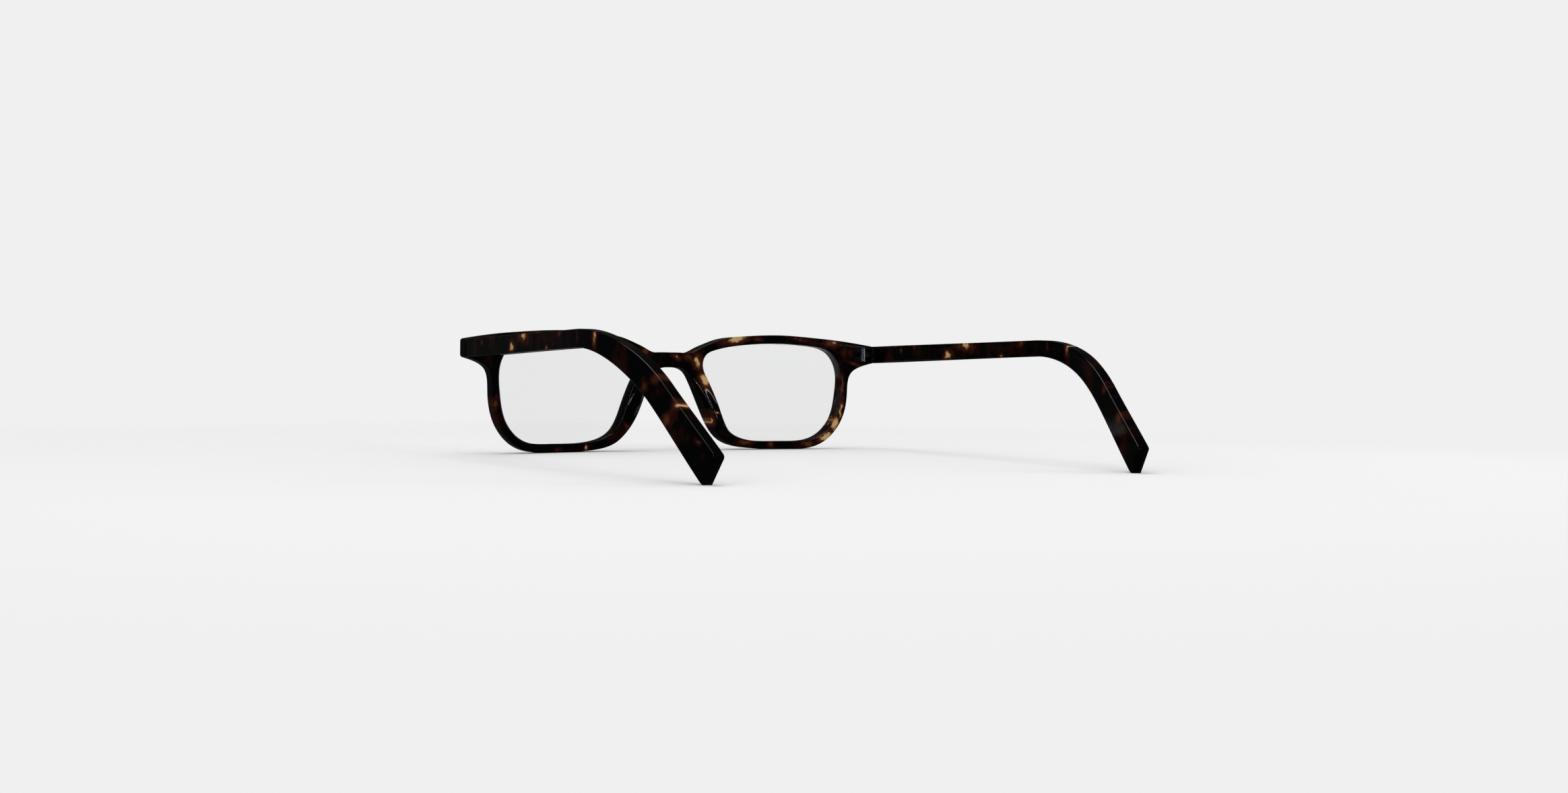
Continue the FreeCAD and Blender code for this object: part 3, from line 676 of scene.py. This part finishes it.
screwFinish = {"metal": "#C8CACC", "tarnish": "#A2A4A6", "roughness": 0.14, "spread": 0.1, "lineGap": 0.1,
               "lineDepth": 0.0015}
wireFinish = {"metal": "#BDBBB3", "tarnish": "#8A8880", "roughness": 0.25, "spread": 0.12, "lineGap": 0.15,
              "lineDepth": 0.002}
finishes = {
    "lens": castLensResin(),
    "front_hinge": metalFinish("nickel silver, milled and barrel polished", hingeFinish, "z"),
    "temple_hinge": metalFinish("nickel silver, milled and barrel polished, temple half", hingeFinish, "z"),
    "hinge_screw": metalFinish("stainless steel, turned", screwFinish, "z"),
    "core_wire": metalFinish("nickel silver, drawn wire", wireFinish, "y"),
}
for start, material in finishes.items():
    for word in ("left", "right"):
        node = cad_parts[start + "_" + word]
        node.data.materials.clear()
        node.data.materials.append(material)
print("lenses, hinges, screws and core wires: finished")


# floor, light and camera
stagePlan = {
    "paleness": 0.871,  # of the backdrop, which is #F0F0F0
    "floorReach": 0.45, "floorCells": 24,  # metres from the middle to an edge, and squares along it
    "floorWhite": "#E5E5E5",
    "fadeStart": 0.17, "fadeEnd": 0.33,  # metres from the middle, where the floor melts into the backdrop
    "roomLight": 0.72, "roomReflection": 0.03,
    # lamps: width and height in metres, watts, place; each one looks at the middle of the stage
    "lamps": [
        ("overhead softbox", 0.6, 0.6, 2.9, (0.06, -0.05, 0.9)),
        ("strip lamp behind", 0.025, 0.5, 0.9, (-0.04, 0.85, 0.25)),
        ("strip lamp on the right", 0.06, 0.4, 0.5, (-0.5, 0.22, 0.15)),
        ("strip lamp on the left", 0.06, 0.4, 0.5, (0.6, 0.3, 0.25)),
    ],
}


def buildFloor():
    size, cells = stagePlan["floorReach"], stagePlan["floorCells"]
    ticks = np.linspace(-size, size, cells + 1)
    points = [(x / mm, y / mm, 0) for y in ticks for x in ticks]
    row = cells + 1
    corners = [r * row + c for r in range(cells) for c in range(cells)]
    faces = [(k, k + 1, k + row + 1, k + row) for k in corners]
    material, tree = newMaterial("matt paper sweep")
    place = addNode(tree, "TexCoord").outputs["Object"]
    away = addNode(tree, "VectorMath", {0: place}, operation="LENGTH").outputs["Value"]
    fade = addNode(tree, "MapRange", {
        0: away, 1: stagePlan["fadeStart"], 2: stagePlan["fadeEnd"], 3: 0.0, 4: 1.0},
        interpolation_type="SMOOTHSTEP").outputs[0]
    paper = addNode(tree, "BsdfDiffuse", {"Color": linearColour(stagePlan["floorWhite"])})
    gone = addNode(tree, "BsdfTransparent")
    both = addNode(tree, "MixShader", {0: fade, 1: paper.outputs[0], 2: gone.outputs[0]})
    addNode(tree, "OutputMaterial", {"Surface": both.outputs[0]})
    mesh = bpy.data.meshes.new("floor")
    mesh.from_pydata([tuple(c * mm for c in p) for p in points], [], faces)
    mesh.materials.append(material)
    floor = bpy.data.objects.new("floor", mesh)
    bpy.context.scene.collection.objects.link(floor)
    floor.visible_glossy = False  # keeps the pale paper out of the black gloss


def lightRoom():
    world = bpy.data.worlds.new("pale studio")
    bpy.context.scene.world = world
    world.use_nodes = True
    tree = world.node_tree
    tree.nodes.clear()
    # the backdrop is pale to look at, while the room behind the lamps is dim in reflections
    rays = addNode(tree, "LightPath")
    lit = addNode(tree, "Mix", {0: rays.outputs["Diffuse Depth"], 2: stagePlan["paleness"],
                                3: stagePlan["roomLight"]}).outputs[0]
    strength = addNode(tree, "Mix", {0: rays.outputs["Glossy Depth"], 2: lit,
                                     3: stagePlan["roomReflection"]}).outputs[0]
    glow = addNode(tree, "Background", {"Color": (1, 1, 1, 1), "Strength": strength})
    addNode(tree, "OutputWorld", {"Surface": glow.outputs[0]})
    for name, wide, high, watts, place in stagePlan["lamps"]:
        lamp = bpy.data.lights.new(name, "AREA")
        lamp.shape, lamp.size, lamp.size_y, lamp.energy = "RECTANGLE", wide, high, watts
        softbox = bpy.data.objects.new(name, lamp)
        softbox.location = place
        softbox.rotation_euler = Vector(place).to_track_quat("Z", "Y").to_euler()
        bpy.context.scene.collection.objects.link(softbox)


cameraPlan = {
    "place": (0.2464, 0.3890, 0.0261), "heading": 32.16, "pitch": -1.09, "roll": 0.85,
    "focal": 2618 / 2328 * 36,  # mm on a 36 mm wide sensor
}


def setCamera():
    heading, pitch, roll = (math.radians(cameraPlan[k]) for k in ("heading", "pitch", "roll"))
    level = math.cos(pitch)
    ahead = Vector((-math.sin(heading) * level, -math.cos(heading) * level, math.sin(pitch)))
    right = Vector((-math.cos(heading), math.sin(heading), 0))
    up = right.cross(ahead)
    tiltedRight = right * math.cos(roll) + up * math.sin(roll)
    tiltedUp = up * math.cos(roll) - right * math.sin(roll)
    camera = bpy.data.objects.new("camera", bpy.data.cameras.new("camera"))
    camera.data.lens, camera.data.sensor_width = cameraPlan["focal"], 36
    camera.data.clip_start, camera.data.clip_end = 0.01, 20
    turn = Matrix((tiltedRight, tiltedUp, -ahead)).transposed().to_4x4()
    camera.matrix_world = Matrix.Translation(cameraPlan["place"]) @ turn
    bpy.context.scene.collection.objects.link(camera)
    bpy.context.scene.camera = camera


buildFloor()
lightRoom()
setCamera()
view = bpy.context.scene.view_settings
view.view_transform, view.look = "Standard", "None"
print("stage, light and camera: set")
